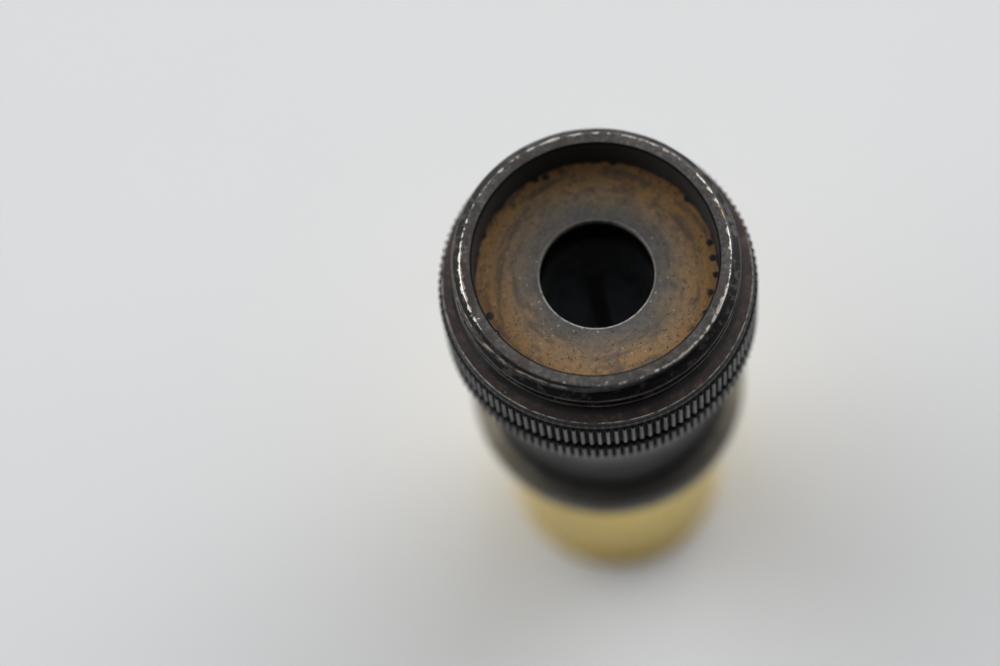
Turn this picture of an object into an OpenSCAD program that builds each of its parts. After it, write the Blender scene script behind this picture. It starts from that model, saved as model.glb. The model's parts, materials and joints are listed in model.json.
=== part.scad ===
// Direct-vision spectroscope that screws into the eye end of a telescope.
// It stands on its eye end. +Z runs up the optical axis, towards the telescope, and the origin is
// the centre of the face that it stands on. X is the way the slit opens.
// Sizes are in millimetres. Levels in the head are depths below the rim; levels in the barrel are
// heights above the resting face.

/* [Overall] */
// Height from the resting face to the rim of the threaded nose
overall_h = 76.3; // [76.3:0.1:84]
// How far the head draws off the barrel to focus the slit
focus_travel = 8; // [4:0.5:9]
// Angle that the slit ring turns from closed to open
slit_turn = 30; // [15:1:30]

/* [Threaded nose] */
// Major diameter of the male thread
thread_d = 31.75; // [31.4:0.05:32]
// Distance from one thread crest to the next
thread_pitch = 1.5875; // [1.3:0.0125:1.5875]
// Diameter at the top of the thread's lead chamfer
rim_d = 29.6; // [29:0.1:30]
// Diameter of the open recess inside the rim
recess_d = 27; // [26.6:0.1:27.4]
// Depth of the recess, down to the diaphragm
recess_depth = 4.9; // [3:0.1:5.2]
// Depth of the shoulder that seats against the telescope
shoulder_depth = 5.5; // [5.5:0.05:5.8]
// Diameter of the shoulder
shoulder_d = 34.4; // [33.6:0.1:34.6]

/* [Diaphragm] */
// Diameter of the round hole in the diaphragm
diaphragm_hole_d = 12.8; // [6:0.1:18]
// Thickness of the diaphragm
diaphragm_t = 1; // [0.6:0.1:1.4]

/* [Knurled rings] */
// Diameter over the teeth of the upper and lower knurled rings
knurl_d = 35.56; // [35.4:0.02:37]
// Number of teeth round each knurled ring
knurl_teeth = 118; // [60:2:140]
// Depth of each groove between the teeth
knurl_depth = 0.4; // [0.2:0.05:0.45]
// Length of the upper row of teeth
upper_knurl_h = 4.5; // [3.5:0.1:4.5]
// Length of the lower row of teeth
lower_knurl_h = 3.8; // [3.6:0.1:3.8]

/* [Sleeve] */
// Outer diameter of the sleeve's plain tube
sleeve_d = 28.4; // [28:0.1:29]
// Diameter of the collar that clamps the sleeve to the nose
collar_d = 31.2; // [30.8:0.1:31.4]
// Diameter over the flange's fine teeth
flange_d = 32.76; // [32.4:0.04:34]
// Number of fine teeth round the flange
flange_teeth = 190; // [120:2:200]
// Thickness of the flange
flange_h = 3.7; // [3.4:0.1:3.9]
// Depth of the sleeve's lower end
sleeve_end = 43; // [42.6:0.1:43.4]

/* [Barrel and optics] */
// Outer diameter of the barrel
barrel_d = 26.46; // [26.3:0.02:26.5]
// Wall of the barrel
barrel_wall = 1.03; // [0.8:0.01:1.1]
// Side of the square prism train
prism_side = 10; // [8:0.5:10]
// Length of the prism train
prism_train_h = 28.2; // [28:0.1:28.4]
// Slant of the prisms' cemented faces
prism_slant = 33; // [28:0.5:33]
// Diameter of the collimating lens
lens_d = 18; // [14:0.5:18]
// Diameter of the eye hole
eye_hole_d = 7; // [4:0.5:8]

/* [Hidden] */

$fn = 96;
eps = 0.01;             // how far a cutting tool runs past a face
run_gap = 0.05;         // radial clearance of a part that turns or slides
seat_gap = 0.02;        // clearance of a part that only has to drop in
axial_gap = 0.1;        // end clearance between a turning part and its neighbour

black_lacquer = "#211f1f";
brown_lacquer = "#8a6539";
brass = "#c6a64f";
blackened = "#2b2a2a";
steel = "#9a9ca0";
crown_glass = "#dfeef2";
flint_glass = "#e8e6cf";
cork = "#b68a58";

// Nose: the thread form is the 55 degree one, cut as rings
thread_depth = 0.64 * thread_pitch;
thread_flank = thread_depth * tan(27.5);
crest_land = (thread_pitch - 2 * thread_flank) / 2;
crest_count = 3;
first_crest = 0.62;                                  // depth of the first crest's centre
root_r = thread_d / 2 - thread_depth;
lead_chamfer = (thread_d - rim_d) / 2;

step_depth = shoulder_depth + 0.85;                  // foot of the shoulder's wall
upper_teeth_top = shoulder_depth + 1.6;
upper_teeth_end = upper_teeth_top + upper_knurl_h;
groove_h = 0.65;                                     // each ring's half of the groove between the rows
groove_r = knurl_d / 2 - 0.8;
nose_flange_end = upper_teeth_end + groove_h;
skirt_d = 29.2;                                      // spigot that the slit ring turns on
ring_top = nose_flange_end + axial_gap;
lower_teeth_top = ring_top + groove_h;
ring_end = lower_teeth_top + lower_knurl_h;
ring_mid = (lower_teeth_top + ring_end) / 2;
skirt_end = ring_end + 4.8;
throat_d = 23;                                       // bore above the cam
cam_bore_d = 25.6;                                   // bore that the cam turns in
base_bore_d = 26.2;                                  // bore that the slit base drops into

// Corners of one tooth, as fractions of the pitch from its middle; those beyond 0.3 are in the groove
coarse_tooth = [-0.28, 0.28, 0.42, 0.58];
fine_tooth = [0, 0.5];

// Slit: the cam's eccentric slots push the jaws apart as the ring turns
cam_h = 2.8;
cam_top = ring_mid - cam_h / 2;
cam_end = cam_top + cam_h;
cam_web = 0.85;
cam_rim_w = 1.85;
cam_aperture_d = 11;
cam_offset = 1.5;                                    // offset of each slot's centre from the axis
pin_r = 0.6;
pin_reach = 8;                                       // distance of each jaw's pin from the axis, closed
slot_r = norm([pin_reach, cam_offset]);
jaw_travel = cam_offset * sin(slit_turn)
    + sqrt(slot_r * slot_r - pow(cam_offset * cos(slit_turn), 2)) - pin_reach;
jaw_t = 1.1;
jaw_top = cam_end + 0.2;
jaw_end = jaw_top + jaw_t;
jaw_w = 9;
jaw_l = 9.4;
slit_half = 0.05;                                    // half of the slit's width when it is closed
base_t = 1.8;
base_end = jaw_end + base_t;
guide_w = 2.9;
guide_l = 17;
guide_screw_at = [6, jaw_w / 2 + guide_w / 2];
drive_screw_r = 0.8;
drive_screw_angles = [25, 155];

// Sleeve and barrel
sleeve_top = ring_end + axial_gap;
collar_end = skirt_end + 1.5;
collar_fillet = (collar_d - sleeve_d) / 2;
flange_top = sleeve_end - flange_h;
fine_depth = 0.25;                                   // groove between the fine teeth
flange_fillet = 1.7;
bore_d = barrel_d + 2 * run_gap;
barrel_top = overall_h - skirt_end - 3.5;
barrel_bore_d = barrel_d - 2 * barrel_wall;
set_screw_r = 0.8;
set_screw_depth = ring_end + 1.9;
guide_screw_depth = sleeve_end - flange_h / 2;
guide_screw_r = 0.8;
guide_slot_r = guide_screw_r + run_gap;

// Eye end
cap_h = 5;
cap_spigot_h = 3.2;
cap_spigot_d = barrel_bore_d - 2 * seat_gap;
cap_cavity_d = 18;
window_seat_h = 2.7;
window_t = 1.2;
window_d = 15.8;
cap_teeth = 150;
cap_band = [0.9, 4.3];                               // heights that the cap's teeth run between
cap_chamfer = 0.4;

// Prism train
train_z = cap_h + cap_spigot_h + 0.1;
train_top = train_z + prism_train_h;
half_side = prism_side / 2;
slant_rise = half_side * tan(prism_slant);
apex_flat = 0.15;                                    // half of the narrow face left at each apex
face_count = 4;
end_face = (prism_train_h - (face_count - 1) * 2 * (slant_rise + apex_flat)) / 2;
cement_gap = 0.01;
pad_t = 0.5;
cradle_d = barrel_bore_d - 2 * seat_gap - 0.1;
clamp_t = 1.2;
clamp_w = 17;
clamp_screw_y = half_side + pad_t + 1.5;

// Collimator, above the prisms
stop_z = train_top + 0.1;
stop_t = 0.8;
spacer_h = 1;
cell_z = stop_z + stop_t + spacer_h + 2 * seat_gap;
cell_h = 7;
lens_z = cell_z + 1.4;
flint_middle = 1.1;                                  // thickness of the flint lens on the axis
crown_edge = 1.3;                                    // thickness of the crown lens at its edge
cemented_r = 24;                                     // radius of the curve that the two lenses share
front_r = 22;                                        // radius of the crown lens's outer curve
crown_low = lens_z + flint_middle + 2 * cement_gap;  // level of the crown lens's lowest point
crown_rim = crown_low + sag(cemented_r, lens_d / 2) + crown_edge;
lens_ring_bore_d = lens_d - 1.6;

// Height above the resting face of a level that is given as a depth below the rim
function level(depth) = overall_h - depth;

// A point at a radius and an angle
function polar(r, angle) = [r * cos(angle), r * sin(angle)];

// How far a sphere's surface falls away from its top at a distance from its axis
function sag(sphere_r, r) = sphere_r - sqrt(sphere_r * sphere_r - r * r);

// A plain band between two depths, solid unless it has a bore
module band(top, end, d, bore = 0) {
    translate([0, 0, level(end)])
        difference() {
            cylinder(d = d, h = end - top);
            if (bore > 0)
                translate([0, 0, -eps]) cylinder(d = bore, h = end - top + 2 * eps);
        }
}

// A ring that stands at a height above the resting face
module ring(z, h, d, bore) {
    translate([0, 0, z])
        difference() {
            cylinder(d = d, h = h);
            translate([0, 0, -eps]) cylinder(d = bore, h = h + 2 * eps);
        }
}

// A straight-knurled band. Each tooth is a few corners, as fractions of the pitch from its middle,
// and a corner beyond 0.3 lies at the foot of the groove.
module knurled_band(top, end, d, bore, teeth, depth, tooth) {
    pitch = 360 / teeth;
    translate([0, 0, level(end)])
        linear_extrude(end - top)
            difference() {
                polygon([for (i = [0 : teeth - 1], corner = tooth)
                    polar(d / 2 - (corner > 0.3 ? depth : 0), (i + corner) * pitch)]);
                circle(d = bore);
            }
}

// A radial hole or shank, from one radius to another, at an angle round the axis
module radial(angle, z, from_r, to_r, r) {
    rotate([0, 0, angle])
        translate([from_r, 0, z])
            rotate([0, 90, 0]) cylinder(r = r, h = to_r - from_r);
}

// A radial screw whose slotted head faces outwards
module radial_screw(angle, z, tip_r, head_r, r, big_r, head_t) {
    difference() {
        union() {
            radial(angle, z, tip_r, head_r - head_t, r);
            radial(angle, z, head_r - head_t, head_r, big_r);
        }
        rotate([0, 0, angle])
            translate([head_r, 0, z]) cube([0.6, 0.3, 4 * big_r], center = true);
    }
}

// The wall that a drive screw sweeps through as the slit ring turns
module drive_slot(angle) {
    sweep = slit_turn + 9;
    rotate([0, 0, angle - 4.5])
        translate([0, 0, level(ring_mid) - drive_screw_r - axial_gap])
            rotate_extrude(angle = sweep)
                translate([throat_d / 2, 0])
                    square([skirt_d / 2 - throat_d / 2 + 1, 2 * (drive_screw_r + axial_gap)]);
}

// One ring of the thread, as the outline's points from the crest down to the next crest
function thread_turn(crest) = [
    [thread_d / 2, level(crest - crest_land / 2)],
    [thread_d / 2, level(crest + crest_land / 2)],
    [root_r, level(crest + crest_land / 2 + thread_flank)],
    [root_r, level(crest + crest_land * 1.5 + thread_flank)],
];

module nose_outline() {
    chamfer_end = first_crest + crest_land / 2;
    thread_end = first_crest + (crest_count - 1) * thread_pitch + crest_land / 2 + thread_flank;
    polygon(concat(
        [[recess_d / 2, level(0)],
         [rim_d / 2, level(0)],
         [rim_d / 2 + chamfer_end, level(chamfer_end)],
         [root_r, level(chamfer_end + thread_flank - (lead_chamfer - chamfer_end) * tan(27.5))],
         [root_r, level(first_crest + thread_pitch - crest_land / 2 - thread_flank)]],
        [for (i = [1 : crest_count - 2]) each thread_turn(first_crest + i * thread_pitch)],
        [[thread_d / 2, level(first_crest + (crest_count - 1) * thread_pitch - crest_land / 2)],
         [thread_d / 2, level(first_crest + (crest_count - 1) * thread_pitch + crest_land / 2)],
         [root_r, level(thread_end)],
         [root_r, level(shoulder_depth)],
         [shoulder_d / 2, level(shoulder_depth)],
         [shoulder_d / 2, level(step_depth)],
         [knurl_d / 2 - knurl_depth, level(upper_teeth_top)],
         [knurl_d / 2 - knurl_depth, level(upper_teeth_end)],
         [groove_r, level(upper_teeth_end)],
         [groove_r, level(nose_flange_end)],
         [skirt_d / 2, level(nose_flange_end)],
         [skirt_d / 2, level(skirt_end)],
         [base_bore_d / 2, level(skirt_end)],
         [base_bore_d / 2, level(jaw_end)],
         [cam_bore_d / 2, level(jaw_end)],
         [cam_bore_d / 2, level(cam_top - axial_gap)],
         [throat_d / 2, level(cam_top - axial_gap)],
         [throat_d / 2, level(recess_depth + diaphragm_t)],
         [recess_d / 2, level(recess_depth + diaphragm_t)]]));
}

module threaded_nose() {
    color(black_lacquer)
        difference() {
            union() {
                rotate_extrude() nose_outline();
                knurled_band(upper_teeth_top, upper_teeth_end, knurl_d, skirt_d,
                             knurl_teeth, knurl_depth, coarse_tooth);
            }
            for (angle = drive_screw_angles) drive_slot(angle);
            for (angle = [90, 210, 330])
                radial(angle, level(set_screw_depth), skirt_d / 2 - 0.5, skirt_d / 2 + 1,
                       set_screw_r + seat_gap);
        }
}

module diaphragm_disc() {
    color(brown_lacquer)
        band(recess_depth, recess_depth + diaphragm_t, recess_d - 2 * seat_gap, diaphragm_hole_d);
}

module dust_glass() {
    color(crown_glass)
        band(recess_depth + diaphragm_t + 2.2, recess_depth + diaphragm_t + 3.4, throat_d - 4);
}

// The glass drops into a stepped ring that is pressed up the throat
module dust_glass_ring() {
    ring_start = recess_depth + diaphragm_t + 1.4;
    glass_end = recess_depth + diaphragm_t + 3.4;
    color(blackened)
        difference() {
            band(ring_start, glass_end, throat_d - 2 * seat_gap, throat_d - 6);
            band(ring_start + 0.8 - seat_gap, glass_end + eps, throat_d - 4 + 2 * seat_gap);
        }
}

module slit_ring() {
    color(black_lacquer)
        difference() {
            union() {
                band(ring_top, ring_end, 2 * groove_r, skirt_d + 2 * run_gap);
                knurled_band(lower_teeth_top, ring_end, knurl_d, skirt_d + 2,
                             knurl_teeth, knurl_depth, coarse_tooth);
            }
            for (angle = drive_screw_angles) {
                radial(angle, level(ring_mid), skirt_d / 2 - 1, knurl_d / 2 + 1,
                       drive_screw_r + seat_gap);
                radial(angle, level(ring_mid), groove_r - 1, knurl_d / 2 + 1, 1.3);
            }
        }
}

// A slot along the arc that one jaw's pin follows, with round ends
module cam_slot() {
    clear_r = pin_r + axial_gap;
    wall_r = clear_r - seat_gap;
    start = atan(cam_offset / pin_reach);
    turned = polar(pin_reach + jaw_travel, -slit_turn) + [0, cam_offset];
    finish = atan2(turned[1], turned[0]);
    translate([0, -cam_offset, level(cam_end) - eps]) {
        rotate([0, 0, finish])
            rotate_extrude(angle = start - finish)
                translate([slot_r - wall_r, 0]) square([2 * wall_r, cam_web + 2 * eps]);
        for (angle = [start, finish])
            translate(slot_r * [cos(angle), sin(angle), 0])
                cylinder(r = clear_r, h = cam_web + 2 * eps);
    }
}

module cam_ring() {
    outer_d = cam_bore_d - 2 * run_gap;
    color(blackened)
        difference() {
            band(cam_top, cam_end, outer_d, cam_aperture_d);
            band(cam_top - eps, cam_end - cam_web, outer_d - 2 * cam_rim_w);
            for (side = [0, 180]) rotate([0, 0, side]) cam_slot();
            for (angle = drive_screw_angles)
                radial(angle, level(ring_mid), outer_d / 2 - 1.5, outer_d / 2 + 1,
                       drive_screw_r + seat_gap);
        }
}

module drive_screws() {
    color(steel)
        for (angle = drive_screw_angles)
            radial_screw(angle, level(ring_mid), cam_bore_d / 2 - 1.4, knurl_d / 2 - 0.7,
                         drive_screw_r, 1.25, 0.7);
}

// The right jaw: a plate with a knife edge at the slit and a hole for its pin
module jaw_blade() {
    bevel = jaw_t - 0.2;
    difference() {
        translate([0, jaw_w / 2 - run_gap, 0])
            rotate([90, 0, 0])
                linear_extrude(jaw_w - 2 * run_gap)
                    polygon([[slit_half, level(jaw_end)],
                             [slit_half + jaw_l, level(jaw_end)],
                             [slit_half + jaw_l, level(jaw_top)],
                             [slit_half + bevel, level(jaw_top)],
                             [slit_half, level(jaw_top + bevel)]]);
        translate([pin_reach, 0, level(jaw_end) - eps])
            cylinder(r = pin_r + seat_gap, h = jaw_t + 2 * eps);
    }
}

module jaw_pin() {
    translate([pin_reach, 0, level(jaw_end) + 0.1])
        cylinder(r = pin_r, h = jaw_t + 0.1 + cam_web);
}

module jaw_right() {
    color(steel) jaw_blade();
}

module jaw_left() {
    color(steel) mirror([1, 0, 0]) jaw_blade();
}

module jaw_pin_right() {
    color(steel) jaw_pin();
}

module jaw_pin_left() {
    color(steel) mirror([1, 0, 0]) jaw_pin();
}

// Places a copy at each of the four screws that hold the jaw guides
module at_guide_screws() {
    for (x = [-1, 1], y = [-1, 1])
        translate([x * guide_screw_at[0], y * guide_screw_at[1], 0]) children();
}

module slit_base() {
    color(blackened)
        difference() {
            band(jaw_end, base_end, base_bore_d - 2 * seat_gap);
            translate([0, 0, level(jaw_end) - base_t / 2])
                cube([2.6, jaw_w - 1, base_t + 1], center = true);
            at_guide_screws()
                translate([0, 0, level(base_end) + 0.4])
                    cylinder(r = 0.6 + seat_gap, h = base_t);
        }
}

module jaw_guides() {
    color(brass)
        difference() {
            for (side = [-1, 1])
                translate([0, side * guide_screw_at[1], level(jaw_end) + jaw_t / 2])
                    cube([guide_l, guide_w, jaw_t], center = true);
            at_guide_screws() {
                translate([0, 0, level(jaw_end) - eps]) cylinder(r = 0.6 + seat_gap, h = jaw_t + 1);
                translate([0, 0, level(jaw_top) - 0.5]) cylinder(r = 1 + seat_gap, h = 1);
            }
        }
}

module jaw_guide_screws() {
    color(steel)
        at_guide_screws()
            difference() {
                union() {
                    translate([0, 0, level(base_end) + 0.5])
                        cylinder(r = 0.6, h = base_t + jaw_t - 1);
                    translate([0, 0, level(jaw_top) - 0.5]) cylinder(r = 1, h = 0.45);
                }
                translate([0, 0, level(jaw_top)]) cube([3, 0.3, 0.5], center = true);
            }
}

module slit_base_ring() {
    color(blackened)
        difference() {
            band(base_end, base_end + 1.5, base_bore_d - 2 * seat_gap, base_bore_d - 5);
            translate([0, 0, level(base_end + 1.5)])
                cube([base_bore_d + 1, 1, 1.4], center = true);
        }
}

// Both fillets are quarter circles, hollow side outwards
module sleeve_outline() {
    steps = 16;
    wall_r = sleeve_d / 2;
    flange_r = flange_d / 2 - fine_depth - 0.05;
    collar_arc = [for (i = [0 : steps])
        [collar_d / 2 - collar_fillet * sin(i * 90 / steps),
         level(collar_end + collar_fillet * (1 - cos(i * 90 / steps)))]];
    flange_arc = [for (i = [0 : steps])
        [wall_r + flange_fillet * (1 - cos(i * 90 / steps)),
         level(flange_top - flange_fillet * (1 - sin(i * 90 / steps)))]];
    polygon(concat(
        [[skirt_d / 2 + seat_gap, level(sleeve_top)],
         [collar_d / 2, level(sleeve_top)]],
        collar_arc,
        flange_arc,
        [[flange_r, level(flange_top)],
         [flange_r, level(sleeve_end)],
         [bore_d / 2, level(sleeve_end)],
         [bore_d / 2, level(skirt_end + axial_gap)],
         [skirt_d / 2 + seat_gap, level(skirt_end + axial_gap)]]));
}

module black_sleeve() {
    color(black_lacquer)
        difference() {
            union() {
                rotate_extrude() sleeve_outline();
                knurled_band(flange_top, sleeve_end, flange_d, bore_d + 2,
                             flange_teeth, fine_depth, fine_tooth);
            }
            for (angle = [90, 210, 330])
                radial(angle, level(set_screw_depth), skirt_d / 2 - 0.2, collar_d / 2 + 1,
                       set_screw_r + seat_gap);
            radial(90, level(guide_screw_depth), bore_d / 2 - 0.5, flange_d / 2 + 1,
                   guide_screw_r + seat_gap);
            radial(90, level(guide_screw_depth), flange_d / 2 - 1.2, flange_d / 2 + 1, 1.35);
        }
}

module sleeve_set_screws() {
    color(steel)
        for (angle = [90, 210, 330])
            radial_screw(angle, level(set_screw_depth), skirt_d / 2 - 0.4, collar_d / 2 - 0.1,
                         set_screw_r, set_screw_r, 0.3);
}

module focus_guide_screw() {
    color(steel)
        radial_screw(90, level(guide_screw_depth), barrel_bore_d / 2 + 0.2, flange_d / 2 - 0.5,
                     guide_screw_r, 1.3, 0.65);
}

// The barrel slides in the sleeve, and the guide screw runs in its slot
module brass_barrel() {
    color(brass)
        difference() {
            ring(cap_h, barrel_top - cap_h, barrel_d, barrel_bore_d);
            for (z = [level(guide_screw_depth), level(guide_screw_depth) + focus_travel])
                radial(90, z, barrel_bore_d / 2 - 1, barrel_d / 2 + 1, guide_slot_r);
            translate([0, barrel_d / 2 - barrel_wall / 2,
                       level(guide_screw_depth) + focus_travel / 2])
                cube([2 * guide_slot_r, 2 * barrel_wall, focus_travel], center = true);
        }
}

module collimator_cell() {
    color(brass)
        difference() {
            ring(cell_z, cell_h, barrel_bore_d - 2 * seat_gap, lens_d - 1.6);
            translate([0, 0, lens_z - 0.4])
                cylinder(d = lens_d + 2 * seat_gap, h = cell_h);
        }
}

// A lens as its half profile: a lower and an upper curve, each a list of points from the axis out
module lens(lower, upper) {
    rotate_extrude() polygon(concat(lower, [for (i = [len(upper) - 1 : -1 : 0]) upper[i]]));
}

// Points of a spherical surface from the axis out to the lens's edge
function curve(z, sphere_r, up) = [for (i = [0 : 12])
    [lens_d / 2 * i / 12, z + (up ? -1 : 1) * sag(sphere_r, lens_d / 2 * i / 12)]];

module collimator_flint_lens() {
    color(flint_glass)
        lens([[0, lens_z], [lens_d / 2, lens_z]],
             curve(lens_z + flint_middle, cemented_r, false));
}

module collimator_crown_lens() {
    color(crown_glass)
        lens(curve(crown_low, cemented_r, false),
             curve(crown_rim + sag(front_r, lens_d / 2), front_r, true));
}

module collimator_ring() {
    rest = crown_rim + sag(front_r, lens_d / 2) - sag(front_r, lens_ring_bore_d / 2) + seat_gap;
    color(brass)
        difference() {
            ring(rest, 1.2, lens_d, lens_ring_bore_d);
            translate([0, 0, rest + 1.2]) cube([lens_d + 1, 1, 1.2], center = true);
        }
}

module lens_spacer() {
    color(blackened) ring(stop_z + stop_t, spacer_h, cap_spigot_d, lens_d);
}

module prism_stop() {
    color(blackened) ring(stop_z, stop_t, cap_spigot_d, prism_side - 0.8);
}

// Places a copy at each clamp screw, with +Z pointing out of the clamp plate
module at_clamp_screws() {
    for (z = [train_z + 5, train_top - 5], side = [-1, 1])
        translate([half_side + axial_gap, side * clamp_screw_y, z])
            rotate([0, 90, 0]) children();
}

// A trough that fills the barrel round the square prisms and lies open towards +X
module prism_cradle() {
    channel = half_side + pad_t + seat_gap;
    color(brass)
        difference() {
            translate([0, 0, train_z]) cylinder(d = cradle_d, h = prism_train_h);
            translate([-half_side - seat_gap, -channel, train_z - eps])
                cube([cradle_d, 2 * channel, prism_train_h + 2 * eps]);
            translate([half_side + axial_gap, -cradle_d / 2, train_z - eps])
                cube([cradle_d, cradle_d, prism_train_h + 2 * eps]);
            at_clamp_screws() translate([0, 0, -4]) cylinder(r = 0.7 + seat_gap, h = 5);
        }
}

module prism_clamp_plate() {
    color(brass)
        difference() {
            translate([half_side + axial_gap, -clamp_w / 2, train_z + 2])
                cube([clamp_t, clamp_w, prism_train_h - 4]);
            at_clamp_screws() translate([0, 0, -1]) cylinder(r = 0.7 + seat_gap, h = 5);
        }
}

module prism_clamp_screws() {
    color(steel)
        at_clamp_screws()
            difference() {
                union() {
                    translate([0, 0, -3.5]) cylinder(r = 0.7, h = 3.5 + clamp_t);
                    translate([0, 0, clamp_t]) cylinder(r = 1.2, h = 0.7);
                }
                translate([0, 0, clamp_t + 0.7]) cube([3, 0.3, 0.6], center = true);
            }
}

module prism_cork_pads() {
    color(cork)
        for (side = [-1, 1])
            translate([0, side * (half_side + cement_gap + pad_t / 2), train_z + prism_train_h / 2])
                cube([prism_side, pad_t, prism_train_h], center = true);
}

// Height of the joint below prism number i at a place across the train; the ends are square
function joint_z(i, x) =
    i == 0 ? train_z
    : i > face_count ? train_top
    : train_z + end_face + (i - 1) * 2 * (slant_rise + apex_flat)
        + (i % 2 == 0 ? 1 : -1) * x * tan(prism_slant);

// Prism number i of the train, counted up from the eye
module prism(i) {
    rotate([90, 0, 0])
        translate([0, 0, -half_side])
            linear_extrude(prism_side)
                polygon([[-half_side, joint_z(i, -half_side) + cement_gap],
                         [half_side, joint_z(i, half_side) + cement_gap],
                         [half_side, joint_z(i + 1, half_side) - cement_gap],
                         [-half_side, joint_z(i + 1, -half_side) - cement_gap]]);
}

module crown_prism_rear() {
    color(crown_glass) prism(0);
}

module flint_prism_rear() {
    color(flint_glass) prism(1);
}

module crown_prism_middle() {
    color(crown_glass) prism(2);
}

module flint_prism_front() {
    color(flint_glass) prism(3);
}

module crown_prism_front() {
    color(crown_glass) prism(4);
}

module eye_cap() {
    seat_d = window_d + 2 * seat_gap;
    body_r = barrel_d / 2 - fine_depth - 0.05;
    spigot_top = cap_h + cap_spigot_h;
    cup_h = window_seat_h - 1.1;
    color(brass)
        union() {
            rotate_extrude()
                polygon([[eye_hole_d, 0],
                         [barrel_d / 2 - cap_chamfer, 0],
                         [barrel_d / 2, cap_chamfer],
                         [barrel_d / 2, cap_band[0]],
                         [body_r, cap_band[0]],
                         [body_r, cap_band[1]],
                         [barrel_d / 2, cap_band[1]],
                         [barrel_d / 2, cap_h],
                         [cap_spigot_d / 2, cap_h],
                         [cap_spigot_d / 2, spigot_top],
                         [cap_cavity_d / 2, spigot_top],
                         [cap_cavity_d / 2, cap_h + 0.1],
                         [seat_d / 2, cap_h + 0.1],
                         [seat_d / 2, window_seat_h],
                         [eye_hole_d / 2, window_seat_h],
                         [eye_hole_d / 2, cup_h]]);
            knurled_band(level(cap_band[1]), level(cap_band[0]), barrel_d - axial_gap, barrel_d - 2,
                         cap_teeth, fine_depth - axial_gap / 2, fine_tooth);
        }
}

module eye_window() {
    color(crown_glass) translate([0, 0, window_seat_h]) cylinder(d = window_d, h = window_t);
}

module eye_window_ring() {
    base = window_seat_h + window_t;
    color(brass)
        difference() {
            ring(base, 1.1, window_d, window_d - 4.8);
            translate([0, 0, base + 1.1]) cube([window_d + 1, 1, 1.2], center = true);
        }
}

threaded_nose();
diaphragm_disc();
dust_glass();
dust_glass_ring();
slit_ring();
cam_ring();
drive_screws();
jaw_left();
jaw_right();
jaw_pin_left();
jaw_pin_right();
slit_base();
jaw_guides();
jaw_guide_screws();
slit_base_ring();
black_sleeve();
sleeve_set_screws();
focus_guide_screw();
brass_barrel();
collimator_cell();
collimator_crown_lens();
collimator_flint_lens();
collimator_ring();
lens_spacer();
prism_stop();
prism_cradle();
prism_clamp_plate();
prism_clamp_screws();
prism_cork_pads();
crown_prism_front();
flint_prism_front();
crown_prism_middle();
flint_prism_rear();
crown_prism_rear();
eye_cap();
eye_window();
eye_window_ring();
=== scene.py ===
"""Looks of a direct-vision spectroscope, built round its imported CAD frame.

Outlines are in millimetres, as (radius, depth, rounding) corners. A depth is measured down from the
rim of the threaded nose, and the axis of every turned piece is the frame's Z axis.
"""
import json
import math

import bmesh
import bpy
import numpy as np
from mathutils import Matrix, Vector

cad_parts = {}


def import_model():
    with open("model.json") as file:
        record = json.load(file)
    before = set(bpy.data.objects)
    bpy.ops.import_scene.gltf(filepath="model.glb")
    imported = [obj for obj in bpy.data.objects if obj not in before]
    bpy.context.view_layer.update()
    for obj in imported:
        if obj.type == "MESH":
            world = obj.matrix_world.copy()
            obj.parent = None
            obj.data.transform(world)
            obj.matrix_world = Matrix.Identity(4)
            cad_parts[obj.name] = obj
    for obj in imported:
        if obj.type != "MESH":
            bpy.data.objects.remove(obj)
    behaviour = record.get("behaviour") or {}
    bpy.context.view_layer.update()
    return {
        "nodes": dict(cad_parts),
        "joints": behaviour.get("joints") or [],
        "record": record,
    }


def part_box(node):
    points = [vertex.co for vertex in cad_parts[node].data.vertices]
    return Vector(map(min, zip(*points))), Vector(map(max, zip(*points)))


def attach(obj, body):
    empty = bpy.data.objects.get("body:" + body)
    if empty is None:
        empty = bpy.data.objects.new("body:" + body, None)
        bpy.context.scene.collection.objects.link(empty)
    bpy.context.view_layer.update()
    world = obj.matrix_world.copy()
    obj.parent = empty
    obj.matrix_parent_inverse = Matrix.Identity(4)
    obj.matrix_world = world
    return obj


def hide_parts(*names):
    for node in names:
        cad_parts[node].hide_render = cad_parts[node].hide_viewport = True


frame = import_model()

MM = 0.001
TURN = 2 * math.pi
GAP = 0.02                      # clearance between pieces that drop into each other
CORNER = math.radians(35)       # edges that turn more than this stay sharp
RIM_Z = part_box("threaded_nose")[1].z / MM      # height of the rim above the table


def top(node):
    """Depth of a CAD node's highest point."""
    return RIM_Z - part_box(node)[1].z / MM


def foot(node):
    """Depth of a CAD node's lowest point."""
    return RIM_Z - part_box(node)[0].z / MM


def middle(node):
    """Depth of a CAD node's middle."""
    return (top(node) + foot(node)) / 2


def reach(node):
    """Radius of a CAD node's outermost point."""
    points = np.array([v.co for v in frame["nodes"][node].data.vertices])
    return float(np.hypot(points[:, 0], points[:, 1]).max()) / MM


def mount(name):
    """Sizes of one of the record's mounts."""
    return next(m for m in frame["record"]["mounts"] if m["name"] == name)["dims"]


def joint(name):
    """One of the record's joints."""
    return next(j for j in frame["joints"] if j["name"] == name)


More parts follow.
